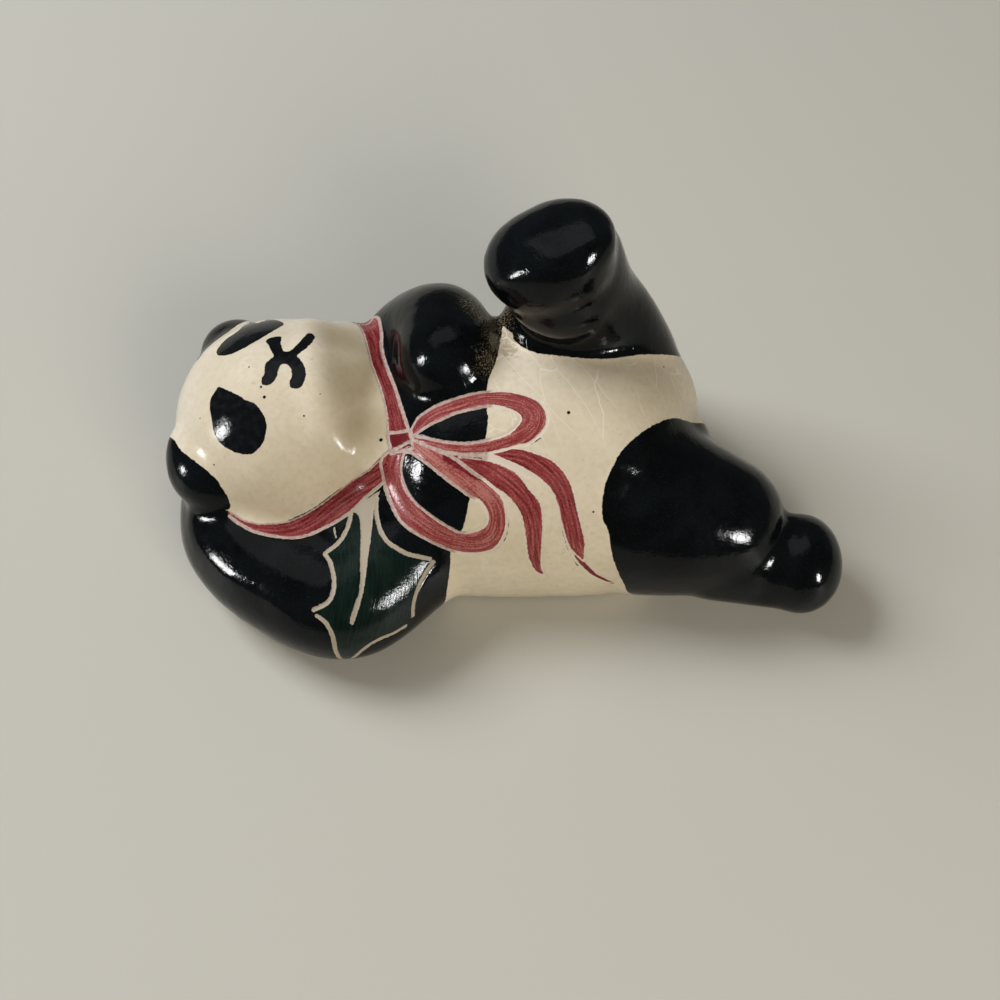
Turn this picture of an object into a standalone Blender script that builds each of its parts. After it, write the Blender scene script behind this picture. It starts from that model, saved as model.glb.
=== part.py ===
"""A glazed stoneware panda lying on its back, cast in one piece.

Run with blender --background --python part.py, or from Blender's text editor.
The figure lies along X with its head at -X and its feet at +X, its belly up
and its right side towards -Y. It rests on the flat underside at Z = 0, and the
origin is the middle of its bounding box in X and Y.
"""

import math

import bmesh
import bpy
from mathutils import Euler, Matrix, Vector

# Driving sizes, in metres
FIGURE_LENGTH = 0.095
CLAY_GRAIN = 0.0006
RIM_MERGE = 0.0001

# The lumps of clay below are placed in units of which the figure is about 92 long.
# X runs from head to feet, Y away from the near arm and Z up from the table.
TORSO = [
    (-6, 7, 8.3, 13.5, 20.1, 18.6),
    (2, 7, 8.3, 14, 20.3, 19.6),
    (13.5, 7.1, 8.4, 14.5, 20.2, 19),
]
RUMP = [(15.5, 12.5, 12, 12.6, 13, 12.5)]
SKULL = [
    (-30.2, 8.6, 14.4, 14.9, 15, 14.2),
    (-25.6, 9, 16.6, 12, 13.2, 12),
    (-22, 10.2, 16.2, 8.8, 12.9, 10.2),
]
# Clay is pressed in under the head and into the crook of the neck
NECK = [
    (-27.5, 5.5, 3.5, 14, 13.5, 6.5),
    (-16, 13.5, 15, 6.5, 8, 7),
    (-16.2, 6.5, 18.2, 5.8, 9.5, 6.2),
]
NEAR_EAR = [
    (-42.3, 2.8, 17.7, 3.1, 3.1, 3.1),
    (-40.1, -0.1, 16.1, 5, 4.9, 4.9),
    (-37.5, -1.8, 15.1, 4.2, 4.2, 4.2),
]
FAR_EAR = [(-37, 18.7, 16.2, 5.5, 5.5, 5.5)]
# The near arm is folded behind the head as its pillow
PILLOW_ARM = [
    (-6, -2, 8, 10, 9.5, 10.5),
    (-13, -8, 7.6, 9, 8.8, 9.2),
    (-20.6, -15, 7, 8, 8.2, 8.2),
    (-29.5, -11.6, 6.8, 8, 8.2, 8.2),
    (-36.4, -5.2, 7, 7.7, 7.8, 8),
    (-38, 3, 6, 7, 7, 7),
]
SHOULDER = [
    (-19, -4.5, 6, 17, 12, 10),
    (-18.5, -6.3, 7.2, 13, 9.8, 9),
    (-15.5, -3.5, 8, 9, 9, 10.2),
]
# The far arm comes up behind the chest and lays its paw on it
CHEST_ARM = [
    (-14, 16, 13, 8.8, 8.8, 8.8),
    (-11.4, 19.6, 17, 7.9, 7.9, 7.9),
    (-8, 17.4, 23.4, 7, 7, 7),
    (-7, 11.6, 25.8, 6.8, 6.8, 6.8),
]
RAISED_LEG = [
    (13.3, 17.5, 16, 12, 9, 12),
    (12.8, 18.6, 23, 9.4, 7.8, 9.5),
    (10.4, 18.9, 30, 8.1, 7.5, 8),
    (9, 19, 37.5, 7.3, 7, 7),
]
RAISED_THIGH = [(7.4, 17.8, 25.2, 7.4, 6.6, 6.2)]
RAISED_ANKLE = [(8.2, 16.9, 34, 7.6, 6.9, 6.5)]
RAISED_FOOT = (6.4, 17.4, 39.4, 8.9, 7.3, 6.5)
RAISED_FOOT_TURN = -18
SOLE = (6.9, 17.6, 41.2, 8.6, 7.3, 4.6)
SOLE_TURN = -26
BENT_LEG = [
    (19.5, -1.5, 9.5, 12.8, 12.8, 12.8),
    (25.2, -3.6, 9.8, 11, 11, 11),
    (30, -4.6, 9.8, 9.3, 9.3, 9.3),
]
BENT_HIP = [(23.4, 6.6, 12, 6.2, 6.2, 6.2)]
SHIN = [(30, -7, 7.2, 7.6, 7.6, 7.6), (40, -9.3, 6.3, 6.3, 6.3, 6.3)]
BENT_FOOT = [(41.5, -9.3, 6.5, 5.8, 7.1, 6.9)]

LUMPS_PER_SPAN = 7
FUSE_STEPS = 16
FACET_SHARE = 0.1

GLAZE_COLOUR = (0.80, 0.72, 0.58, 1.0)
GLAZE_ROUGHNESS = 0.22


def clear_scene():
    for old in list(bpy.data.objects):
        bpy.data.objects.remove(old, do_unlink=True)


def add_lump(clay, lump, turn=0):
    """A closed ellipsoid: its centre, its radii and its turn about Y in degrees."""
    place = Matrix.Translation(Vector(lump[:3]))
    turned = Euler((0, math.radians(turn), 0)).to_matrix().to_4x4()
    size = Matrix.Diagonal((*lump[3:], 1.0))
    bmesh.ops.create_icosphere(
        clay, subdivisions=4, radius=1.0, matrix=place @ turned @ size
    )


def catmull_rom(a, b, c, d, t):
    """The value at t between b and c on the smooth curve through all four."""
    slope = (c - a) * t
    bend = (2 * a - 5 * b + 4 * c - d) * t * t
    twist = (3 * b - a - 3 * c + d) * t ** 3
    return 0.5 * (2 * b + slope + bend + twist)


def add_limb(clay, lumps):
    """Lumps strung closely along a smooth curve through the given ones."""
    before = [lumps[0]] + lumps[:-2]
    after = lumps[2:] + [lumps[-1]]
    for four in zip(before, lumps[:-1], lumps[1:], after):
        for step in range(LUMPS_PER_SPAN + 1):
            t = step / LUMPS_PER_SPAN
            add_lump(clay, [catmull_rom(*values, t) for values in zip(*four)])


def pile_of_lumps():
    clay = bmesh.new()
    for limb in (TORSO, NEAR_EAR, PILLOW_ARM, CHEST_ARM, RAISED_LEG, BENT_LEG, SHIN):
        add_limb(clay, limb)
    fillers = (NECK, SHOULDER, RAISED_THIGH, RAISED_ANKLE, BENT_HIP)
    for lumps in (RUMP, SKULL, FAR_EAR, BENT_FOOT, *fillers):
        for lump in lumps:
            add_lump(clay, lump)
    add_lump(clay, RAISED_FOOT, RAISED_FOOT_TURN)
    add_lump(clay, SOLE, SOLE_TURN)
    mesh = bpy.data.meshes.new("lumps")
    clay.to_mesh(mesh)
    clay.free()
    return mesh


def scaled_to_length(mesh):
    """Scales a mesh to the figure's length, with its middle over the origin."""
    places = [vertex.co for vertex in mesh.vertices]
    low = [min(co[axis] for co in places) for axis in range(2)]
    high = [max(co[axis] for co in places) for axis in range(2)]
    middle = Vector(((low[0] + high[0]) / 2, (low[1] + high[1]) / 2, 0))
    unit = FIGURE_LENGTH / (high[0] - low[0])
    mesh.transform(Matrix.Scale(unit, 4) @ Matrix.Translation(-middle))
    return mesh


def add_object(name, mesh):
    made = bpy.data.objects.new(name, mesh)
    bpy.context.scene.collection.objects.link(made)
    return made


def add_modifier(piece, kind, **settings):
    modifier = piece.modifiers.new(kind.title(), kind)
    for key, value in settings.items():
        setattr(modifier, key, value)
    return modifier


def shaped_mesh(piece):
    """The mesh that an object's modifiers make, as a mesh of its own."""
    graph = bpy.context.evaluated_depsgraph_get()
    return bpy.data.meshes.new_from_object(piece.evaluated_get(graph))


def ground_flat(mesh):
    """Grinds the underside flat at Z = 0 and closes it."""
    body = bmesh.new()
    body.from_mesh(mesh)
    everything = body.verts[:] + body.edges[:] + body.faces[:]
    bmesh.ops.bisect_plane(
        body, geom=everything, plane_co=(0, 0, 0), plane_no=(0, 0, 1), clear_inner=True
    )
    corners = [vertex for vertex in body.verts if vertex.is_boundary]
    bmesh.ops.remove_doubles(body, verts=corners, dist=RIM_MERGE)
    rim = [edge for edge in body.edges if edge.is_boundary]
    bmesh.ops.holes_fill(body, edges=rim, sides=0)
    body.to_mesh(mesh)
    body.free()
    return mesh


def stoneware():
    material = bpy.data.materials.new("glazed stoneware")
    material.use_nodes = True
    shader = material.node_tree.nodes["Principled BSDF"]
    shader.inputs["Base Color"].default_value = GLAZE_COLOUR
    shader.inputs["Roughness"].default_value = GLAZE_ROUGHNESS
    shader.inputs["Metallic"].default_value = 0.0
    return material


def main():
    clear_scene()

    # The lumps are fused into one body and smoothed as by a wet hand. Its surface is
    # then simplified to facets, small in the creases and large elsewhere.
    pile = add_object("pile", scaled_to_length(pile_of_lumps()))
    add_modifier(pile, "REMESH", mode="VOXEL", voxel_size=CLAY_GRAIN)
    add_modifier(pile, "SMOOTH", factor=0.5, iterations=FUSE_STEPS)
    add_modifier(pile, "DECIMATE", decimate_type="COLLAPSE", ratio=FACET_SHARE)
    panda = add_object("panda", scaled_to_length(ground_flat(shaped_mesh(pile))))
    bpy.data.objects.remove(pile, do_unlink=True)

    panda.data.materials.clear()
    panda.data.materials.append(stoneware())
    return panda


main()
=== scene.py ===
"""A glazed stoneware panda lying on its back, painted and scratched by hand.

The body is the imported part's own form, made smooth. The painter's bow, leaf, eyes
and muzzle are laid on it, and the outlines of the bow and the leaf are cut into it.
Lengths are in millimetres until the finished mesh is scaled to metres.
"""

import math

import bmesh
import bpy
import numpy as np
from mathutils import Matrix, Vector, kdtree, noise
from mathutils.bvhtree import BVHTree


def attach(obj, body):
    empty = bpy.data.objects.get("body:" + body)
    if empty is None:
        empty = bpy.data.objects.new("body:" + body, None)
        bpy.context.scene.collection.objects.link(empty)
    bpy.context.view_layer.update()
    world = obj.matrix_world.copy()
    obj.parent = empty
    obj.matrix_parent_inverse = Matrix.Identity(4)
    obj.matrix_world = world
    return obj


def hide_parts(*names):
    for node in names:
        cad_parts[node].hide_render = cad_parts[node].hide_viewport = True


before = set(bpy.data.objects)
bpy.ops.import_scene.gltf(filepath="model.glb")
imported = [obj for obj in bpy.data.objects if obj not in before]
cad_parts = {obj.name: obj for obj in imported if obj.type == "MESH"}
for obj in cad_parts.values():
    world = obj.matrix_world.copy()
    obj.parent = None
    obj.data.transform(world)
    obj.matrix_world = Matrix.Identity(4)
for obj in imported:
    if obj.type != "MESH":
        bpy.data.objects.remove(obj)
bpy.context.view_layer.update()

MM = 0.001

# The photograph's camera
PHOTO_SIDE = 1000
CAMERA_AIM = Vector((-0.9483, -2.1673, 8.2093))
CAMERA_DISTANCE = 221.5479
CAMERA_ELEVATION = math.radians(60)
CAMERA_FIELD = math.radians(36)
SENSOR = 36

TO_CAMERA = Vector((0, -math.cos(CAMERA_ELEVATION), math.sin(CAMERA_ELEVATION)))
CAMERA_UP = Vector((0, math.sin(CAMERA_ELEVATION), math.cos(CAMERA_ELEVATION)))
CAMERA_RIGHT = Vector((1, 0, 0))
CAMERA_EYE = CAMERA_AIM + TO_CAMERA * CAMERA_DISTANCE
HALF_VIEW = math.tan(CAMERA_FIELD / 2)

# The clay. Each wave has its length and its height.
CLAY_GRAIN = 0.6
WET_HAND_STEPS = 9
HAND_WAVE = (9.0, 0.10)
FINGER_WAVE = (3.2, 0.03)
# Below this height the underside stays as flat as the kiln shelf left it
FOOT_HEIGHT = 0.3

# The scratched lines: half their width, their depth and the step between their points
LINE_HALF = 0.27
LINE_DEPTH = 0.12
BRUSH_STEP = 0.12
# How far from a line, and from a thin line, the surface is measured
REACH = 3.0
THIN_REACH = 1.5
# Nearer to a ring than this, its side is told by its direction
SURE_SIDE = 0.9
# The surface is cut finer twice, within these distances of the lines
FIRST_CUT = 0.62
SECOND_CUT = 0.42
GLAZE_EDGE_HEIGHT = 0.02

# Spots of two numbers are pixels of the photograph and spots of three are millimetres
# on a side that it doesn't show. A spot given twice is a sharp corner.
COLLAR_TOP_HEAD = [
    (355, 317), (364, 334), (371, 360), (378, 380), (383, 396), (387, 416), (388, 432)
]
COLLAR_TOP_BODY = [
    (368, 314), (378, 318), (381, 330), (382, 350), (388, 370), (395, 388), (400, 404),
    (408, 428),
]
COLLAR_LOW_HEAD = [
    (386, 455), (360, 476), (340, 490), (316, 508), (290, 521), (264, 524), (246, 521),
    (230, 512),
]
COLLAR_LOW_BODY = [
    (384, 482), (366, 497), (348, 514), (328, 526), (300, 537), (280, 537), (256, 532),
    (240, 524), (229, 516),
]
UNDER_NEAR_EAR = [
    (220, 508), (209, 507.5), (-43.0, -7.6, 15.7), (-43.9, -7.2, 14.9),
    (-44.6, -6.4, 14.1), (-45.0, -5.6, 13.5), (-45.3, -4.4, 13.2), (-45.5, -2.4, 12.9),
]
COLLAR_BEHIND = [
    (-45.6, 1.6, 11.4), (-46.2, 5.4, 10.2), (-44.4, 11.4, 7.0), (-40.8, 16.4, 5.2),
    (-35.2, 20.2, 4.6), (-28.2, 21.2, 5.6), (-22.7, 20.0, 9.0), (-19.4, 19.4, 14.0),
    (361, 315),
]
# Behind the head the collar has this half width, and tapers over its first stretch
COLLAR_HALF = 1.6
COLLAR_TAPER = 9.0
KNOT = [
    (387, 433), (387, 433), (409, 430.5), (409, 430.5), (413, 448), (413, 448),
    (391, 453.5), (391, 453.5),
]
KNOT_SIDE = [(391, 453), (389, 444), (387.5, 434)]
HIGH_LOOP = [
    (411, 430), (411, 430), (418, 418), (432, 408), (448, 401), (472, 394), (492, 391),
    (508, 391), (526, 395), (540, 402), (547, 414), (546, 426), (540, 434), (530, 443),
    (516, 446), (500, 451), (480, 454), (460, 454), (436, 449), (413, 440), (413, 440),
]
HIGH_LOOP_HOLE = [
    (414, 436), (414, 436), (426, 427), (440, 420), (456, 413), (472, 409), (488, 406),
    (500, 407), (512, 411), (520, 417), (518, 424), (510, 432), (504, 435), (488, 440),
    (472, 443), (456, 443), (440, 441), (426, 438),
]
LOW_LOOP = [
    (413, 440), (413, 440), (436, 450), (454, 458), (468, 468), (484, 480), (498, 492),
    (505, 504), (507, 520), (505, 534), (498, 546), (488, 552), (472, 554), (456, 552),
    (440, 546), (424, 538), (408, 528), (398, 518), (390, 502), (385, 488), (383, 476),
    (381, 460), (388, 452), (388, 452),
]
LOW_LOOP_HOLE = [
    (404, 452), (404, 452), (401, 470), (405, 486), (413, 500), (426, 512), (440, 522),
    (452, 529), (462, 533), (478, 530), (486, 524), (487, 514), (480, 502), (471, 497),
    (460, 489), (450, 482), (430, 466), (412, 453), (412, 453),
]
SHORT_TAIL = [
    (446, 454), (446, 454), (458, 455), (466, 458), (490, 461), (515, 472), (530, 490),
    (541, 505), (543, 528), (542, 551), (542, 568), (546, 577), (546, 577), (535, 571),
    (528, 557), (525, 536), (521, 516), (509, 498), (492, 486), (472, 473), (458, 462),
]
LONG_TAIL = [
    (488, 453), (488, 453), (512, 448), (533, 452), (553, 461), (567, 476), (574, 493),
    (579, 516), (585, 541), (584, 562), (584, 562), (570, 548), (562, 525), (558, 507),
    (551, 490), (536, 476), (515, 464),
]
TAIL_CURL = [(564, 533), (571, 554), (584, 570), (594, 577), (605, 582), (613, 583)]
TAIL_GAP = [(460, 456), (476, 455), (490, 457), (502, 462), (515, 468), (528, 477)]

LEAF = [
    (351, 514), (351, 514), (349, 523), (345, 533), (338, 543), (325, 554), (325, 554),
    (329, 560), (332, 568), (334, 580), (333, 592), (329, 601), (322, 606), (313, 610),
    (313, 610), (324, 621), (329, 628), (333, 638), (335, 648), (338, 656), (345, 662),
    (345, 662), (358, 654), (368, 646), (380, 639), (392, 634), (408, 627), (413, 616),
    (413, 608), (415, 598), (419, 586), (424, 576), (429, 568), (434, 560), (434, 560),
    (420, 557), (408, 554), (398, 549), (388, 542), (381, 532), (377, 518), (376, 506),
    (377, 496), (377, 496),
]
LEAF_LINES = [
    [(351, 514), (349, 523), (345, 533), (338, 543), (325, 553)],
    [
        (325, 554), (329, 560), (332, 568), (334, 580), (333, 592), (329, 601), (322, 606),
        (313, 610),
    ],
    [(317, 616), (324, 621), (329, 628), (333, 638), (335, 648), (338, 656), (342, 660)],
    [(348, 661), (358, 654), (368, 646), (380, 639), (392, 634), (406, 626)],
    [(413, 616), (413, 608), (415, 598), (419, 586), (424, 576), (429, 568), (434, 562)],
    [
        (430, 559), (420, 557), (408, 554), (398, 549), (388, 542), (381, 532), (377, 518),
        (376, 506), (377, 498),
    ],
]
MIDRIB = [
    (346, 513), (346, 513), (352, 512.5), (357, 514), (359.5, 520), (360.5, 540),
    (360, 560), (360, 576), (359, 592), (355, 604), (350, 620), (351.5, 625), (353, 625),
    (357, 614), (361, 601), (364, 588), (367, 566), (369.5, 548), (371.5, 532),
    (373, 516), (374.5, 504), (381, 490), (381, 490),
]
LEAF_SLIP = [(334, 528), (336, 538)]

NEAR_EYE = [
    (217, 388), (217, 388), (220, 387), (236, 394), (246, 400), (254, 403), (260, 409),
    (265, 418), (266.4, 428), (264, 440), (259, 448), (251, 454), (240, 453.6),
    (230, 450), (220, 443), (214, 432), (211.6, 420), (209.6, 406), (211, 398),
]
FAR_EYE = [
    (216.6, 353.6), (218, 348), (226, 339), (240, 329), (254, 322), (268, 319.4),
    (278, 320.4), (283.6, 323.6), (280, 327), (268, 334), (256, 341), (244, 348),
    (232, 353.6), (222, 355.6),
]
MUZZLE = [
    (265, 341.6), (269, 337.6), (278, 336), (282, 337), (281.6, 344), (284, 350),
    (290, 350), (298, 343), (304, 336), (308, 332.6), (313, 333.6), (315.6, 337),
    (313, 342), (306, 349), (298, 355), (300, 358), (305, 366), (306.4, 374), (304, 383),
    (300, 388), (294, 389), (289.6, 387), (289, 381), (291, 376), (290, 369), (286, 365),
    (282, 365), (279, 369), (278, 375), (275, 381), (270, 385), (264, 386),
    (260.6, 383), (261, 378), (264, 373), (264, 366), (268, 360), (273, 356), (270, 350),
    (268, 345),
]
# The muzzle's strokes are this much thinner all round than their drawn outline
MUZZLE_TRIM = 0.10
NEAR_EAR = [
    (172, 438), (180, 449), (192, 459), (206, 470), (216, 479), (222, 488), (228, 498),
    (230, 508), (220, 511.5), (209, 512), (-42.9, -8.0, 14.8), (-43.8, -7.5, 13.9),
    (-44.5, -6.6, 13.2), (-44.9, -5.8, 12.6), (-45.2, -4.6, 12.4), (-45.5, -2.6, 12.4),
    (-46.2, -0.4, 13.6), (-46.8, 2.0, 16.0),
]
NEAR_EAR_TIP = (-45.8, -6.0, 17.2)
FAR_EAR = [
    (197, 360.5), (207, 348.5), (224.5, 334.5), (238.5, 324.5), (252, 317.5),
    (-35.3, 21.8, 15.8),
    (-37.2, 21.2, 12.4), (-40.3, 19.2, 11.0), (-43.4, 16.8, 12.8),
]
FAR_EAR_TIP = (-42.0, 21.6, 17.4)
CROWN = (-38.0, 6.0, 28.5)

VEST_EDGE = [
    (501, 314), (502, 330), (500, 342), (498, 354), (495, 364), (490, 376), (487, 386),
    (487, 400), (487, 413), (488, 417), (486, 436), (480, 470), (470, 498), (463, 528),
    (452, 545), (450, 567), (446, 598), (-7.3, -17.0, -0.8), (-5.0, 0.0, -1.0),
    (-3.0, 18.0, -1.0), (-2.5, 25.5, -0.8), (-2.5, 27.0, 5.0), (-2.5, 26.0, 12.4),
]
VEST_INSIDE = (420, 350)
RAISED_LEG_EDGE = [
    (508, 330), (514, 340), (520, 345), (536, 353), (560, 356), (590, 358.6),
    (610, 358.6), (630, 356), (642, 354.6), (662, 354.6), (682, 355), (23.6, 20.1, 20.6),
    (11.2, 25.3, 17.5), (-0.1, 22.2, 20.6),
]
RAISED_LEG_INSIDE = (560, 240)
BENT_LEG_EDGE = [
    (700, 423), (690, 422), (678, 418.4), (670, 418.6), (658, 423), (644, 431),
    (630, 442), (620, 453), (613, 466), (606, 482), (603, 496), (602, 512), (604, 522),
    (608, 530), (610, 542), (613, 558), (618, 572), (624, 584), (631, 594),
    (21.0, -14.5, -0.8), (23.5, -4.0, -1.0), (25.0, 3.6, -1.0), (28.0, 6.5, -0.5),
    (28.5, 7.5, 5.0), (28.0, 7.5, 10.3),
]
BENT_LEG_INSIDE = (700, 500)

# Each brush stroke of the bow: its middle, and how deep its red is at either end
RED_STROKES = [
    ([(361, 315), (372, 340), (380, 370), (388, 395), (398, 430)], 0.80, 0.95),
    ([(386, 468), (360, 486), (335, 503), (308, 522), (280, 530), (250, 526), (230, 514)],
     0.80, 0.75),
    ([(389, 440), (411, 441)], 1.4, 1.4),
    ([(448, 458), (462, 467), (477, 474)], 1.25, 1.0),
    ([(412, 436), (430, 417), (460, 405), (490, 398), (520, 402), (534, 414), (530, 428),
      (512, 439), (480, 448), (450, 447), (416, 439)], 0.55, 0.5),
    ([(416, 443), (440, 462), (465, 479), (490, 500), (497, 520), (490, 538), (470, 543),
      (440, 534), (412, 515), (395, 490), (392, 465), (398, 452)], 0.25, 0.6),
    ([(448, 458), (480, 466), (508, 484), (526, 505), (533, 530), (536, 560), (545, 577)],
     0.75, 0.65),
    ([(490, 452), (520, 455), (548, 472), (562, 492), (570, 520), (576, 550), (584, 562)],
     0.8, 0.6),
    ([(574, 550), (584, 566), (598, 577), (613, 583)], 0.8, 1.1),
    (COLLAR_BEHIND, 0.55, 0.45),
]
CURL_TIP = [(577, 556), (586, 567), (598, 577), (612, 583)]
CURL_TIP_HALF = 0.34
LEAF_STROKE = [(356, 515), (362, 560), (360, 600), (346, 655)]
# How far a stroke's hair marks carry, and how far apart the strokes' marks are kept
BRUSH_REACH = 14
STROKE_GAP = 40

# What stands out softly from the clay or is pressed into it: where, how far and how wide
RELIEFS = [
    ([(308, 322), (312, 360), (318, 393), (329, 428), (347, 455), (366, 470)], 0.45, 2.4),
    ([(340, 338), (350, 375), (364, 416)], -0.55, 3.6),
    ([(193, 520), (200, 544), (216, 564), (230, 576), (260, 588), (284, 606)], 0.32, 1.7),
    ([(498, 284), (525, 277), (555, 263), (585, 248), (607, 238)], 0.40, 1.5),
    ([(610, 468), (640, 479), (668, 485), (692, 491)], -0.14, 0.9),
    ([(511, 326), (518, 337), (530, 345), (548, 350)], 0.25, 0.9),
    ([(790, 520), (783, 548), (773, 572), (765, 594)], -0.45, 1.7),
]
# Creases that were filled with slip, each with the reach of the filling
FILLED_CREASES = [
    ((384, 335), 3.2), ((388, 360), 3.4), ((392, 385), 3.4), ((396, 410), 3.2),
    ((398, 436), 3.4), ((392, 458), 3.0),
]
FILLING_STEPS = 30

# Fine dark strokes left where the point slipped, with their half widths
SLIPS = [
    ([(342, 488), (326, 500), (308, 512), (288, 521)], 0.11),
    ([(458, 484), (464, 489), (471, 496)], 0.28),
    ([(386, 480), (389, 490), (393, 498)], 0.30),
    ([(429, 518), (442, 526), (456, 533)], 0.16),
    ([(412, 430), (415, 440)], 0.12),
    ([(531, 444), (536, 441), (541, 438)], 0.09),
    ([(507, 514), (508, 526), (504, 540), (496, 549)], 0.10),
    ([(563, 532), (569, 551), (578, 566)], 0.10),
    ([(609, 583), (613, 583)], 0.12),
]
# Pinholes and specks: pixel across, pixel down and radius
SPECKS = [
    (568.7, 412.5, 0.24), (593, 512, 0.14), (261, 387, 0.20), (264, 397, 0.24),
    (249, 367, 0.14), (304, 416, 0.13), (320, 394, 0.12), (381, 440, 0.26),
    (214, 465, 0.16), (664, 367, 0.14), (200, 418, 0.12), (306, 340, 0.10),
]
# Where the glaze is thin or smeared, and where the throat is yellower and carries painted
# shade: the middle and radius of soft patches
THIN_SPOTS = [((491, 322), 4.2), ((495, 343), 3.4), ((489, 360), 3.0), ((479, 310), 3.6)]
SMEAR_SPOTS = [((510, 336), 2.4), ((508, 350), 2.0)]
THROAT_SHADE_SPOTS = [((346, 340), 7.0), ((356, 378), 8.0), ((370, 425), 6.0)]


# The photograph as a view

def sight_line(spot):
    """The eye and the direction in which a pixel of the photograph looks."""
    right = (spot[0] * 2 / PHOTO_SIDE - 1) * HALF_VIEW
    up = (1 - spot[1] * 2 / PHOTO_SIDE) * HALF_VIEW
    sight = CAMERA_RIGHT * right + CAMERA_UP * up - TO_CAMERA
    return CAMERA_EYE, sight.normalized()


def pixels_of(places):
    """The pixels of the photograph at which places are seen."""
    away = places - np.array(CAMERA_EYE)
    depth = -(away @ np.array(TO_CAMERA)) * HALF_VIEW
    right = away @ np.array(CAMERA_RIGHT) / depth
    up = away @ np.array(CAMERA_UP) / depth
    return np.stack(((right + 1) * PHOTO_SIDE / 2, (1 - up) * PHOTO_SIDE / 2), axis=1)


def touch(skin, spot):
    """The point of the body under a pixel, or nearest to a given point."""
    if len(spot) == 3:
        return skin.find_nearest(Vector(spot))[0]
    eye, sight = sight_line(spot)
    hit = skin.ray_cast(eye, sight)[0]
    if hit:
        return hit
    beside = [eye + sight * (CAMERA_DISTANCE + step) for step in range(-40, 41)]
    found = [skin.find_nearest(place) for place in beside]
    return min(found, key=lambda near: near[3])[0]


# The body

def smoothed_copy(node):
    """The CAD node's form without its facets, in millimetres."""
    body = bmesh.new()
    body.from_mesh(node.data)
    bmesh.ops.remove_doubles(body, verts=body.verts, dist=1e-6)
    body.transform(Matrix.Scale(1 / MM, 4))
    mesh = bpy.data.meshes.new("clay")
    body.to_mesh(mesh)
    body.free()
    clay = bpy.data.objects.new("clay", mesh)
    bpy.context.scene.collection.objects.link(clay)
    remesh = clay.modifiers.new("even grain", "REMESH")
    remesh.mode = "VOXEL"
    remesh.voxel_size = CLAY_GRAIN
    smooth = clay.modifiers.new("wet hand", "SMOOTH")
    smooth.factor = 0.5
    smooth.iterations = WET_HAND_STEPS
    graph = bpy.context.evaluated_depsgraph_get()
    shaped = bpy.data.meshes.new_from_object(clay.evaluated_get(graph))
    bpy.data.objects.remove(clay)
    return shaped


def hand_unevenness(place, wave):
    """How far the surface stands out at a place for a wave of length and height."""
    length, height = wave
    return noise.noise(place / length) * height


def pressed_by_hand(body):
    """The slight unevenness that fingers leave, with the underside kept flat."""
    body.normal_update()
    for vertex in body.verts:
        rise = min(max(vertex.co.z - 0.6, 0), 1)
        push = hand_unevenness(vertex.co, HAND_WAVE) + hand_unevenness(vertex.co, FINGER_WAVE)
        vertex.co += vertex.normal * push * rise
        vertex.co.z = max(vertex.co.z, 0)


# Strokes on the body

def catmull_rom(a, b, c, d, t):
    """The point at t between b and c on the smooth curve through all four."""
    slope = (c - a) * t
    bend = (2 * a - 5 * b + 4 * c - d) * t * t
    twist = (3 * b - a - 3 * c + d) * t ** 3
    return (2 * b + slope + bend + twist) / 2


def stroke(skin, spots, closed=False):
    """Close points on the body along a smooth stroke through the spots."""
    points = [Vector(spot) if len(spot) == 3 else touch(skin, spot) for spot in spots]
    if closed:
        points = [points[-1]] + points + points[:2]
    else:
        points = [points[0]] + points + [points[-1]]
    drawn = []
    for a, b, c, d in zip(points, points[1:], points[2:], points[3:]):
        steps = math.ceil((c - b).length / BRUSH_STEP)
        for step in range(steps):
            on_curve = catmull_rom(a, b, c, d, step / steps)
            drawn.append(skin.find_nearest(on_curve)[0])
    return np.array([tuple(point) for point in drawn])


def tree_of(points):
    tree = kdtree.KDTree(len(points))
    for index, point in enumerate(points):
        tree.insert(point, index)
    tree.balance()
    return tree


def distance_to(line, places, reach=REACH):
    """How far places are from a line, up to reach, and its nearest point's number."""
    gap = np.full(len(places), reach)
    nearest = np.zeros(len(places), dtype=int)
    tree = tree_of(line)
    inside = (places > line.min(axis=0) - reach) & (places < line.max(axis=0) + reach)
    for index in np.flatnonzero(inside.all(axis=1)):
        _, number, distance = tree.find(places[index])
        gap[index] = min(distance, reach)
        nearest[index] = number
    return gap, nearest


def along_line(line):
    """The distance from a line's start to each of its points."""
    steps = np.linalg.norm(np.diff(line, axis=0), axis=1)
    return np.concatenate(((0,), np.cumsum(steps)))


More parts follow.
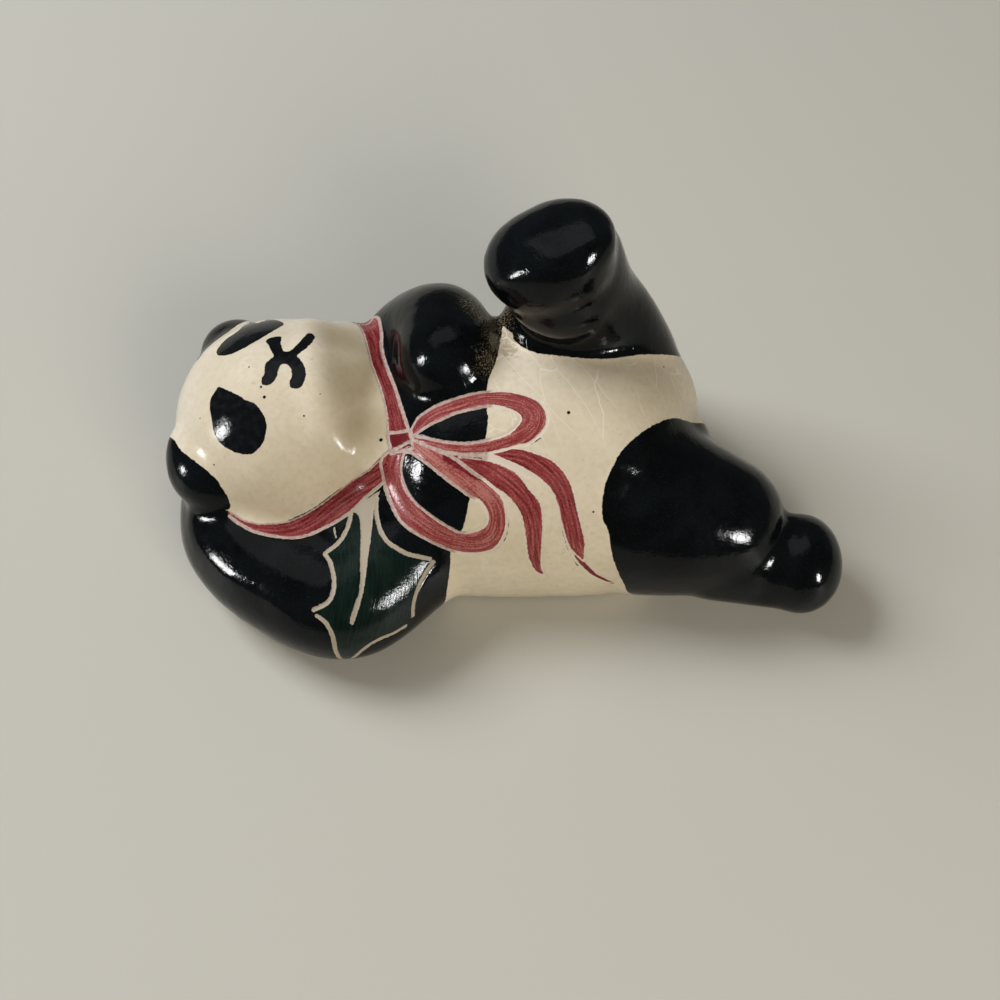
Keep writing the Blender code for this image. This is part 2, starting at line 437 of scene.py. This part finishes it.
class Surface:
    """The body's points, edges and normals as arrays, with searches on them."""

    def __init__(self, body):
        body.verts.index_update()
        self.places = np.array([tuple(vertex.co) for vertex in body.verts])
        self.normals = np.array([tuple(vertex.normal) for vertex in body.verts])
        self.edges = np.array([[end.index for end in edge.verts] for edge in body.edges])
        self.skin = BVHTree.FromBMesh(body)
        self.tree = tree_of(self.places)
        self.soft_normals = self.softened(self.normals, 8)

    def softened(self, values, steps):
        """Values averaged again and again with those of the points next to them."""
        ends, starts = self.edges.T
        count = np.bincount(self.edges.ravel(), minlength=len(values))
        count = np.maximum(count, 1).reshape(-1, *[1] * (values.ndim - 1))
        for _ in range(steps):
            total = np.zeros_like(values)
            np.add.at(total, ends, values[starts])
            np.add.at(total, starts, values[ends])
            values = (values + total / count) / 2
        return values

    def flood(self, allowed, start):
        """The allowed points that are joined to a start point."""
        reached = np.zeros(len(allowed), dtype=bool)
        reached[start] = True
        while True:
            touched = self.edges[reached[self.edges].any(axis=1)].ravel()
            grown = reached.copy()
            grown[touched] = True
            grown &= allowed
            if (grown == reached).all():
                return reached
            reached = grown

    def seen(self, index):
        """True if a point of the body faces the camera with nothing in front of it."""
        if self.normals[index] @ np.array(TO_CAMERA) < 0.02:
            return False
        start = Vector(self.places[index]) + Vector(self.normals[index]) * 0.3
        return self.skin.ray_cast(start, TO_CAMERA)[0] is None

    def seen_area(self, line):
        """Depth inside a closed line that the photograph shows whole, less than 0 outside."""
        gap, _ = distance_to(line, self.places)
        fence = pixels_of(line)
        spots = pixels_of(self.places)
        within = (spots > fence.min(axis=0)) & (spots < fence.max(axis=0))
        some = np.flatnonzero(within.all(axis=1))
        odd = np.zeros(len(some), dtype=bool)
        across, down = spots[some].T
        for (x0, y0), (x1, y1) in zip(fence, np.roll(fence, -1, axis=0)):
            spans = (y0 > down) != (y1 > down)
            if y1 != y0:
                odd ^= spans & (across < x0 + (down - y0) * (x1 - x0) / (y1 - y0))
        inside = np.zeros(len(gap), dtype=bool)
        for index in some[odd]:
            inside[index] = self.seen(index)
        return np.where(inside, gap, -gap)

    def ringed_area(self, line, inner):
        """Depth inside a closed line right round a limb, on the side of an inner point."""
        gap, nearest = distance_to(line, self.places)
        ups = self.soft_normals[[self.tree.find(point)[1] for point in line]]
        forward = np.roll(line, -2, axis=0) - np.roll(line, 2, axis=0)
        sides = np.cross(ups, forward)
        left = ((self.places - line[nearest]) * sides[nearest]).sum(axis=1) > 0
        close = gap < SURE_SIDE
        start = self.tree.find(inner)[1]
        core = self.flood(~close, start)
        rim = self.edges[core[self.edges].any(axis=1)].ravel()
        rim = rim[close[rim]]
        inner_is_left = left[rim].mean() > 0.5
        inside = core | (close & (left == inner_is_left))
        return np.where(inside, gap, -gap)


# Everything that is drawn on the body

def all_strokes(skin):
    """Every painted edge and scratched line, by name."""
    rings = {
        "near ear": stroke(skin, NEAR_EAR, closed=True),
        "far ear": stroke(skin, FAR_EAR, closed=True),
        "head": stroke(
            skin,
            COLLAR_TOP_HEAD + COLLAR_LOW_HEAD + UNDER_NEAR_EAR + COLLAR_BEHIND[:-1],
            closed=True,
        ),
        "vest": stroke(skin, VEST_EDGE, closed=True),
        "raised leg": stroke(skin, RAISED_LEG_EDGE, closed=True),
        "bent leg": stroke(skin, BENT_LEG_EDGE, closed=True),
        "far eye": stroke(skin, FAR_EYE, closed=True),
    }
    collar_top = COLLAR_TOP_HEAD + COLLAR_TOP_BODY[::-1]
    collar_low = COLLAR_LOW_HEAD + COLLAR_LOW_BODY[::-1]
    areas = {
        "collar top": stroke(skin, collar_top, closed=True),
        "collar low": stroke(skin, collar_low, closed=True),
        "knot": stroke(skin, KNOT, closed=True),
        "high loop": stroke(skin, HIGH_LOOP, closed=True),
        "high loop hole": stroke(skin, HIGH_LOOP_HOLE, closed=True),
        "low loop": stroke(skin, LOW_LOOP, closed=True),
        "low loop hole": stroke(skin, LOW_LOOP_HOLE, closed=True),
        "short tail": stroke(skin, SHORT_TAIL, closed=True),
        "long tail": stroke(skin, LONG_TAIL, closed=True),
        "leaf": stroke(skin, LEAF, closed=True),
        "midrib": stroke(skin, MIDRIB, closed=True),
        "near eye": stroke(skin, NEAR_EYE, closed=True),
        "muzzle": stroke(skin, MUZZLE, closed=True),
    }
    scratched = [
        (stroke(skin, COLLAR_TOP_HEAD), LINE_HALF * 0.55),
        (stroke(skin, COLLAR_TOP_BODY), LINE_HALF),
        (stroke(skin, COLLAR_LOW_HEAD), LINE_HALF * 0.45),
        (stroke(skin, COLLAR_LOW_BODY), LINE_HALF * 0.95),
        (stroke(skin, TAIL_GAP), LINE_HALF * 1.3),
        (stroke(skin, TAIL_CURL), LINE_HALF * 0.6),
        (stroke(skin, LEAF_SLIP), LINE_HALF * 0.5),
        (stroke(skin, KNOT_SIDE), LINE_HALF * 0.9),
        (areas["knot"], LINE_HALF * 0.9),
        (areas["high loop"], LINE_HALF * 0.75),
        (areas["high loop hole"], LINE_HALF * 0.85),
        (areas["low loop"], LINE_HALF * 0.85),
        (areas["low loop hole"], LINE_HALF * 0.85),
        (areas["short tail"], LINE_HALF * 0.5),
        (areas["long tail"], LINE_HALF * 0.5),
    ]
    for line in LEAF_LINES:
        scratched.append((stroke(skin, line), LINE_HALF * 1.15))
    slips = [(stroke(skin, spots), half) for spots, half in SLIPS]
    collar_behind = stroke(skin, COLLAR_BEHIND)
    return rings, areas, scratched, slips, collar_behind


def cut_finer(body, lines, reach):
    """Splits the faces within reach of any line, so that its edge comes out sharp."""
    tree = tree_of(np.concatenate(lines))
    chosen = set()
    for face in body.faces:
        if tree.find(face.calc_center_median())[2] < reach:
            chosen.update(face.edges)
    new = bmesh.ops.subdivide_edges(body, edges=list(chosen), cuts=1, use_grid_fill=True)
    moved = [part for part in new["geom_inner"] if isinstance(part, bmesh.types.BMVert)]
    raised = [vertex for vertex in moved if vertex.co.z > FOOT_HEIGHT]
    bmesh.ops.smooth_vert(
        body, verts=raised, factor=0.5, use_axis_x=True, use_axis_y=True, use_axis_z=True
    )


def paint(surface, strokes):
    """The painter's work and the painted shade of the hollows and the throat, as values at
    the body's points, each in millimetres.
    """
    rings, areas, scratched, slips, collar_behind = strokes
    skin = surface.skin
    places = surface.places

    head = surface.ringed_area(rings["head"], CROWN)
    belly_up = surface.ringed_area(rings["vest"], touch(skin, VEST_INSIDE))
    near_ear = surface.ringed_area(rings["near ear"], NEAR_EAR_TIP)
    far_ear = surface.ringed_area(rings["far ear"], FAR_EAR_TIP)
    raised_leg = surface.ringed_area(rings["raised leg"], touch(skin, RAISED_LEG_INSIDE))
    bent_leg = surface.ringed_area(rings["bent leg"], touch(skin, BENT_LEG_INSIDE))
    far_eye = surface.seen_area(rings["far eye"])
    seen = {name: surface.seen_area(line) for name, line in areas.items()}

    vest = np.minimum(belly_up, -head)
    black = np.maximum.reduce([vest, near_ear, far_ear, raised_leg, bent_leg])
    brushed = np.maximum.reduce([seen["near eye"], far_eye, seen["muzzle"] - MUZZLE_TRIM])
    for line, half in slips:
        brushed = np.maximum(brushed, half - distance_to(line, places, THIN_REACH)[0])
    for across, down, radius in SPECKS:
        middle = np.array(touch(skin, (across, down)))
        brushed = np.maximum(brushed, radius - np.linalg.norm(places - middle, axis=1))

    to_collar, spot = distance_to(collar_behind, places)
    worn = np.clip(along_line(collar_behind)[spot] / COLLAR_TAPER, 0.05, 1) ** 0.5
    collar_half = COLLAR_HALF * worn
    behind = np.minimum(collar_half - to_collar, -near_ear)
    high_loop = np.minimum(seen["high loop"], -seen["high loop hole"])
    low_loop = np.minimum(seen["low loop"], -seen["low loop hole"])
    red = np.maximum.reduce([
        seen["collar top"], seen["collar low"], seen["knot"], high_loop, low_loop,
        seen["short tail"], seen["long tail"], behind,
    ])
    to_curl, _ = distance_to(stroke(skin, CURL_TIP), places, THIN_REACH)
    red = np.maximum(red, CURL_TIP_HALF - to_curl)
    line_behind = LINE_HALF * 0.7 - np.abs(to_collar - collar_half)
    scratch = np.minimum(line_behind, -near_ear)
    for line, half in scratched:
        scratch = np.maximum(scratch, half - distance_to(line, places, THIN_REACH)[0])
    green = np.minimum(seen["leaf"], -seen["midrib"])
    scratch = np.maximum(scratch, seen["midrib"])

    values = {
        "black_glaze": black,
        "brush_black": brushed,
        "red_wash": red,
        "green_wash": green,
        "scratch": scratch,
    }
    values.update(brush_marks(surface, green))
    values["thin_glaze"] = spots_field(surface, THIN_SPOTS)
    values["smear"] = spots_field(surface, SMEAR_SPOTS)
    # Painted shade where the throat plane turns away from the light, with a yellower glaze
    # there too
    values["throat"] = spots_field(surface, THROAT_SHADE_SPOTS)
    # How deep each point lies in a hollow, which sets the painted crease shade on the cream
    flat = surface.softened(places, 30)
    values["hollow"] = ((flat - places) * surface.normals).sum(axis=1)
    return values


def spots_field(surface, spots):
    """How far points are inside soft round patches, as a share of the patch's radius."""
    field = np.full(len(surface.places), -1.0)
    for spot, radius in spots:
        middle = np.array(touch(surface.skin, spot))
        gap = np.linalg.norm(surface.places - middle, axis=1)
        field = np.maximum(field, 1 - gap / radius)
    return field


def brush_marks(surface, green):
    """The length along the painter's stroke, the place across it and its depth of red."""
    points, lengths, depths, sides = [], [], [], []
    offset = 0
    for spots, start, end in RED_STROKES + [(LEAF_STROKE, 0, 0)]:
        line = stroke(surface.skin, spots)
        length = along_line(line)
        points.append(line)
        lengths.append(length + offset)
        depths.append(start + (end - start) * length / length[-1])
        offset += STROKE_GAP
        ups = surface.soft_normals[[surface.tree.find(point)[1] for point in line]]
        forward = np.gradient(line, axis=0)
        side = np.cross(ups, forward)
        sides.append(side / np.maximum(np.linalg.norm(side, axis=1)[:, None], 1e-9))
    reds = len(RED_STROKES)
    marks = {}
    for name, first, last in (("red", 0, reds), ("leaf", reds, reds + 1)):
        line = np.concatenate(points[first:last])
        side = np.concatenate(sides[first:last])
        _, nearest = distance_to(line, surface.places, BRUSH_REACH)
        across = (surface.places - line[nearest]) * side[nearest]
        marks[name] = (
            np.concatenate(lengths[first:last])[nearest],
            across.sum(axis=1),
            np.concatenate(depths[first:last])[nearest],
        )
    on_leaf = green > -0.3
    along, across, depth = (
        np.where(on_leaf, leaf, red) for red, leaf in zip(marks["red"], marks["leaf"])
    )
    return {"along": along, "across": across, "deep_red": depth}


def modelled(body):
    """The soft ridges and hollows that the modeller's thumb left."""
    skin = BVHTree.FromBMesh(body)
    places = np.array([tuple(vertex.co) for vertex in body.verts])
    push = np.zeros(len(places))
    for spots, height, spread in RELIEFS:
        gap = distance_to(stroke(skin, spots), places, spread * 2.6)[0]
        push += height * np.exp(-(gap / spread) ** 2)
    for vertex, distance in zip(body.verts, push):
        vertex.co += vertex.normal * distance


def filled_creases(body):
    """The clay smoothed over where slip was brushed into the creases."""
    skin = BVHTree.FromBMesh(body)
    for spot, reach in FILLED_CREASES:
        middle = touch(skin, spot)
        near = [vertex for vertex in body.verts if (vertex.co - middle).length < reach]
        for _ in range(FILLING_STEPS):
            bmesh.ops.smooth_vert(
                body, verts=near, factor=0.5, use_axis_x=True, use_axis_y=True,
                use_axis_z=True,
            )


def panda_body(node):
    """The painted body as a mesh in metres."""
    body = bmesh.new()
    body.from_mesh(smoothed_copy(node))
    pressed_by_hand(body)
    modelled(body)
    filled_creases(body)
    body.normal_update()
    coarse = BVHTree.FromBMesh(body)
    rings, areas, scratched, slips, collar_behind = all_strokes(coarse)
    scratches = [line for line, _ in scratched]
    dark = [line for line, _ in slips]
    specks = np.array([tuple(touch(coarse, spot[:2])) for spot in SPECKS])
    every = list(rings.values()) + list(areas.values()) + scratches + dark
    cut_finer(body, every + [collar_behind, specks], FIRST_CUT)
    fine = list(areas.values()) + scratches + dark + [rings["far eye"], specks]
    cut_finer(body, fine, SECOND_CUT)
    body.normal_update()

    surface = Surface(body)
    strokes = all_strokes(surface.skin)
    values = paint(surface, strokes)

    depth = np.clip((values["scratch"] + 0.12) / 0.35, 0, 1)
    depth = depth * depth * (3 - 2 * depth) * LINE_DEPTH
    edge = np.clip(values["black_glaze"] / 0.5, -1, 1) * GLAZE_EDGE_HEIGHT
    for vertex, push in zip(body.verts, edge - depth):
        if vertex.co.z > FOOT_HEIGHT:
            vertex.co += vertex.normal * push

    for face in body.faces:
        face.smooth = True
        resting = face.calc_center_median().z < 0.02 and face.normal.z < -0.98
        face.material_index = int(resting)
    body.transform(Matrix.Scale(MM, 4))
    mesh = bpy.data.meshes.new("painted panda")
    body.to_mesh(mesh)
    body.free()
    for name, field in values.items():
        layer = mesh.attributes.new(name, "FLOAT", "POINT")
        layer.data.foreach_set("value", field.astype(np.float32))
    return mesh


# Finishes

def colour(code):
    """A colour's sRGB hex value as linear red, green and blue."""
    parts = [int(code[place:place + 2], 16) / 255 for place in (1, 3, 5)]
    linear = [
        part / 12.92 if part <= 0.04045 else ((part + 0.055) / 1.055) ** 2.4
        for part in parts
    ]
    return (*linear, 1.0)


def add_node(tree, kind, links=None, **settings):
    """Adds a node with its settings, and numbers or other nodes' sockets as its inputs."""
    node = tree.nodes.new(kind)
    for name, value in settings.items():
        setattr(node, name, value)
    for name, value in (links or {}).items():
        if isinstance(value, bpy.types.NodeSocket):
            tree.links.new(value, node.inputs[name])
        else:
            node.inputs[name].default_value = value
    return node


def painted_stoneware():
    """Stoneware under a clear crazed glaze, with black glaze and brushed underglaze.

    The cream clay shows warm and slightly uneven, with painted shade in its hollows and on
    the throat, the black is deep and wet with the fine grain of a hand-dipped glaze, the
    red and green show the brush's hairs, and the scratched lines are pale, dull and ragged.
    """
    material = bpy.data.materials.new("hand painted glazed stoneware")
    material.use_nodes = True
    tree = material.node_tree
    shader = tree.nodes["Principled BSDF"]

    def value_of(name):
        return add_node(tree, "ShaderNodeAttribute", attribute_name=name).outputs["Fac"]

    def sum_of(a, b):
        return add_node(tree, "ShaderNodeMath", {0: a, 1: b}, operation="ADD").outputs[0]

    def times(a, b):
        made = add_node(tree, "ShaderNodeMath", {0: a, 1: b}, operation="MULTIPLY")
        return made.outputs[0]

    def greater_of(a, b):
        made = add_node(tree, "ShaderNodeMath", {0: a, 1: b}, operation="MAXIMUM")
        return made.outputs[0]

    def ramp(value, low, high, start=0.0, end=1.0):
        made = add_node(
            tree, "ShaderNodeMapRange",
            {"Value": value, "From Min": low, "From Max": high, "To Min": start,
             "To Max": end},
            interpolation_type="SMOOTHSTEP",
        )
        return made.outputs["Result"]

    def blend(share, a, b):
        made = add_node(tree, "ShaderNodeMix", {0: share, 6: a, 7: b}, data_type="RGBA")
        return made.outputs[2]

    def blend_number(share, a, b):
        return add_node(tree, "ShaderNodeMix", {0: share, 2: a, 3: b}).outputs[0]

    place = add_node(tree, "ShaderNodeTexCoord").outputs["Object"]

    def cloud(size_mm, detail=2.0, rough=0.5, where=place):
        made = add_node(
            tree, "ShaderNodeTexNoise",
            {"Vector": where, "Scale": 1 / (size_mm * MM), "Detail": detail,
             "Roughness": rough},
        )
        return made.outputs["Fac"]

    # Edges waver by a few hundredths of a millimetre, as a brush leaves them
    waver = ramp(cloud(0.7, 3.0), 0.3, 0.7, -0.05, 0.05)
    ragged = ramp(cloud(0.45, 3.0), 0.3, 0.7, -0.045, 0.045)
    black = ramp(sum_of(value_of("black_glaze"), waver), -0.05, 0.06)
    brushed = ramp(sum_of(value_of("brush_black"), waver), -0.05, 0.05)
    red = ramp(sum_of(value_of("red_wash"), waver), -0.05, 0.05)
    green = ramp(sum_of(value_of("green_wash"), waver), -0.05, 0.05)
    scratch = ramp(sum_of(value_of("scratch"), ragged), -0.04, 0.05)
    hollow = value_of("hollow")

    # Cream: transparent glaze over pale clay, darker and yellower in the hollows, where the
    # glaze ran thick and painted crease shade lies
    cream = blend(ramp(cloud(11, 3.0), 0.35, 0.65), colour("#D9CFBB"), colour("#D1C6AF"))
    cream = blend(ramp(cloud(0.9, 3.0), 0.35, 0.75, 0.0, 0.5), cream, colour("#C8BA9E"))
    # Painted shade in the creases and hollows, where the glaze also ran thick
    cream = blend(ramp(hollow, 0.05, 0.6, 0.0, 0.7), cream, colour("#B9AC8A"))
    pits = ramp(cloud(0.55, 1.0), 0.70, 0.76, 0.0, 0.35)
    cream = blend(pits, cream, colour("#B09E7C"))
    # Painted shade on the throat plane that faces away from the light, together with a
    # yellower glaze there
    yellowed_and_shaded = ramp(value_of("throat"), -0.1, 0.9, 0.0, 0.75)
    cream = blend(yellowed_and_shaded, cream, colour("#9C8D6E"))
    patchy = ramp(cloud(0.6, 3.0), 0.3, 0.7, -0.5, 0.4)
    smear = ramp(sum_of(value_of("smear"), patchy), 0.1, 0.7)
    cream = blend(times(smear, 0.45), cream, colour("#7F6B50"))

    # Crazing: pale threads over the upper belly
    stretched = add_node(
        tree, "ShaderNodeMapping",
        {"Vector": place, "Rotation": (0, 0, 0.5), "Scale": (0.55, 1.7, 1.7)},
        vector_type="TEXTURE",
    ).outputs["Vector"]
    warp = add_node(
        tree, "ShaderNodeTexNoise", {"Vector": place, "Scale": 1 / (6 * MM), "Detail": 2.0}
    ).outputs["Color"]
    bent = add_node(
        tree, "ShaderNodeVectorMath", {0: warp, 1: (0.003, 0.003, 0.003)},
        operation="MULTIPLY",
    ).outputs[0]
    bent = add_node(
        tree, "ShaderNodeVectorMath", {0: stretched, 1: bent}, operation="ADD"
    ).outputs[0]
    cells = add_node(
        tree, "ShaderNodeTexVoronoi", {"Vector": bent, "Scale": 1 / (6.2 * MM)},
        feature="DISTANCE_TO_EDGE",
    ).outputs["Distance"]
    thread = ramp(cells, 0.003, 0.017, 0.75, 0.0)
    thread = times(thread, ramp(cloud(9, 1.0), 0.34, 0.50))
    where = add_node(tree, "ShaderNodeSeparateXYZ", {0: place}).outputs
    thread = times(thread, ramp(where["X"], -0.012, -0.004))
    thread = times(thread, ramp(where["Y"], -0.008, 0.002))
    cream = blend(thread, cream, colour("#E6DFCD"))

    # Black: an iron and cobalt glaze, wet and deep, with a grain of fine bubbles
    grain = cloud(0.22, 2.0, 0.6)
    ink = blend(ramp(cloud(5, 3.0), 0.35, 0.65), colour("#050607"), colour("#0A0E10"))
    ink = blend(ramp(grain, 0.52, 0.78, 0.0, 0.45), ink, colour("#1B2226"))
    thin = ramp(sum_of(value_of("thin_glaze"), ramp(grain, 0.3, 0.7, -0.3, 0.3)), 0.1, 0.8)
    rust = blend(ramp(grain, 0.52, 0.64), colour("#1E1A15"), colour("#7A6D54"))
    ink = blend(thin, ink, rust)

    # Brushed black: a thin coat that lets a little of the clay through
    coat = ramp(cloud(0.9, 3.0), 0.4, 0.75, 0.0, 0.35)
    brush_ink = blend(coat, colour("#0C0E10"), colour("#23262A"))

    # Red and green underglaze, streaked along the stroke by the brush's hairs
    along = value_of("along")
    across = value_of("across")
    hairs = add_node(
        tree, "ShaderNodeCombineXYZ",
        {"X": times(along, 0.22), "Y": times(across, 3.2)},
    ).outputs[0]
    streak = add_node(
        tree, "ShaderNodeTexNoise",
        {"Vector": hairs, "Scale": 1.0, "Detail": 3.0, "Roughness": 0.6},
    ).outputs["Fac"]
    depth = sum_of(value_of("deep_red"), ramp(streak, 0.3, 0.7, -0.38, 0.38))
    depth = sum_of(depth, ramp(grain, 0.35, 0.65, -0.18, 0.18))
    wash = blend(ramp(depth, 0.0, 0.6), colour("#AE736B"), colour("#8C3F3F"))
    wash = blend(ramp(depth, 0.55, 1.2), wash, colour("#641C20"))
    leaf = blend(ramp(streak, 0.3, 0.7), colour("#091411"), colour("#12221D"))
    leaf = blend(ramp(cloud(2.4, 3.0), 0.5, 0.8, 0.0, 0.45), leaf, colour("#232D26"))

    bare_line = blend(ramp(cloud(0.5, 2.0), 0.35, 0.7), colour("#BBA89E"), colour("#A38C83"))
    by_leaf = ramp(value_of("green_wash"), -2.0, -1.6)
    bare_line = blend(by_leaf, bare_line, colour("#A99E8D"))
    off_black = ramp(value_of("black_glaze"), -0.3, -1.0)
    bare_line = blend(off_black, bare_line, colour("#D3C7B8"))

    top = blend(black, cream, ink)
    top = blend(brushed, top, brush_ink)
    top = blend(green, top, leaf)
    top = blend(red, top, wash)
    top = blend(scratch, top, bare_line)

    # Where the foot was wiped clean of glaze the clay shows
    wavy = ramp(cloud(3), 0.3, 0.7, -0.0002, 0.0002)
    wiped = ramp(sum_of(where["Z"], wavy), 0.0004, 0.0006, 1, 0)
    top = blend(wiped, top, colour("#A8957A"))
    tree.links.new(top, shader.inputs["Base Color"])

    # Gloss
    dark = greater_of(black, brushed)
    shine = blend_number(dark, 0.20, 0.09)
    shine = sum_of(shine, ramp(cloud(1.4, 2.0), 0.3, 0.7, -0.02, 0.05))
    shine = blend_number(red, shine, 0.22)
    shine = blend_number(green, shine, 0.13)
    shine = blend_number(scratch, shine, 0.50)
    shine = blend_number(thin, shine, 0.34)
    shine = blend_number(wiped, shine, 0.75)
    tree.links.new(shine, shader.inputs["Roughness"])
    shader.inputs["IOR"].default_value = 1.27

    # Relief: the glaze's orange peel, the grain, the brush marks and the ragged lines
    peel = cloud(1.6, 2.0)
    fine = times(grain, blend_number(dark, 0.10, 0.22))
    brushwork = times(streak, times(green, 0.8))
    eggshell = times(cloud(0.42, 1.0), blend_number(dark, 0.18, 0.30))
    relief = sum_of(sum_of(sum_of(peel, eggshell), fine), brushwork)
    relief = sum_of(relief, times(thread, -0.25))
    relief = sum_of(relief, times(scratch, times(ragged, 4.0)))
    bump = add_node(
        tree, "ShaderNodeBump", {"Height": relief, "Distance": 0.05 * MM, "Strength": 1.0}
    )
    tree.links.new(bump.outputs["Normal"], shader.inputs["Normal"])
    return material


def bare_stoneware():
    """Unglazed stoneware, dull and gritty, on the foot that stood on the kiln shelf."""
    material = bpy.data.materials.new("bare fired stoneware")
    material.use_nodes = True
    tree = material.node_tree
    shader = tree.nodes["Principled BSDF"]
    place = add_node(tree, "ShaderNodeTexCoord").outputs["Object"]
    grit = add_node(
        tree, "ShaderNodeTexNoise",
        {"Vector": place, "Scale": 1 / (0.5 * MM), "Detail": 4.0, "Roughness": 0.7},
    ).outputs["Fac"]
    clay = add_node(
        tree, "ShaderNodeMix", {0: grit, 6: colour("#8F7C62"), 7: colour("#BBA98C")},
        data_type="RGBA",
    ).outputs[2]
    tree.links.new(clay, shader.inputs["Base Color"])
    shader.inputs["Roughness"].default_value = 0.85
    bump = add_node(
        tree, "ShaderNodeBump", {"Height": grit, "Distance": 0.08 * MM, "Strength": 1.0}
    )
    tree.links.new(bump.outputs["Normal"], shader.inputs["Normal"])
    return material


def pale_board():
    """A plain pale painted surface to stand on."""
    material = bpy.data.materials.new("pale matt paint")
    material.use_nodes = True
    shader = material.node_tree.nodes["Principled BSDF"]
    shader.inputs["Base Color"].default_value = colour("#BAB8AE")
    shader.inputs["Roughness"].default_value = 0.6
    return material


# The studio

def lamp(name, place, aim, size, power, tint="#FFFFFF", glossy=True, diffuse=True):
    """A soft window of light at a place, in millimetres, turned to what it lights."""
    light = bpy.data.lights.new(name, "AREA")
    light.shape = "RECTANGLE"
    light.size, light.size_y = (side * MM for side in size)
    light.energy = power
    light.color = colour(tint)[:3]
    made = bpy.data.objects.new(name, light)
    bpy.context.scene.collection.objects.link(made)
    made.visible_glossy = glossy
    made.visible_diffuse = diffuse
    made.location = Vector(place) * MM
    made.rotation_euler = (Vector(aim) - Vector(place)).to_track_quat("-Z", "Y").to_euler()


def studio():
    floor_mesh = bpy.data.meshes.new("floor")
    board = bmesh.new()
    bmesh.ops.create_grid(board, x_segments=1, y_segments=1, size=5)
    board.to_mesh(floor_mesh)
    board.free()
    floor = bpy.data.objects.new("floor", floor_mesh)
    bpy.context.scene.collection.objects.link(floor)
    floor.data.materials.append(pale_board())

    lamp("soft key", (-510, 290, 575), (0, 0, 0), (390, 390), 7.0, "#F8FAFF", glossy=False)
    lamp("front card", (220, -430, 330), (0, 0, 0), (300, 260), 1.9, "#FFF4E2", glossy=False)
    lamp("dim ceiling", (-150, 250, 700), (0, 0, 0), (700, 420), 0.6, diffuse=False)
    lamp("low right window", (420, -420, 240), (20, 0, 10), (90, 130), 3.6, diffuse=False)
    lamp("low left window", (-480, -160, 230), (-20, 0, 10), (90, 150), 3.0, diffuse=False)

    world = bpy.data.worlds.new("room")
    world.use_nodes = True
    sky = world.node_tree.nodes["Background"]
    sky.inputs["Color"].default_value = colour("#D9DBDA")
    sky.inputs["Strength"].default_value = 0.14
    bpy.context.scene.world = world

    camera = bpy.data.cameras.new("camera")
    camera.sensor_width = SENSOR
    camera.lens = SENSOR / 2 / HALF_VIEW
    camera.clip_start = 0.01
    made = bpy.data.objects.new("camera", camera)
    bpy.context.scene.collection.objects.link(made)
    made.location = CAMERA_EYE * MM
    made.rotation_euler = (math.pi / 2 - CAMERA_ELEVATION, 0, 0)
    bpy.context.scene.camera = made
    bpy.context.scene.view_settings.view_transform = "Standard"


def main():
    mesh = panda_body(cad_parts["panda"])
    panda = bpy.data.objects.new("painted_panda", mesh)
    bpy.context.scene.collection.objects.link(panda)
    panda.data.materials.append(painted_stoneware())
    panda.data.materials.append(bare_stoneware())
    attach(panda, "root")
    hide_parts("panda")
    studio()


main()
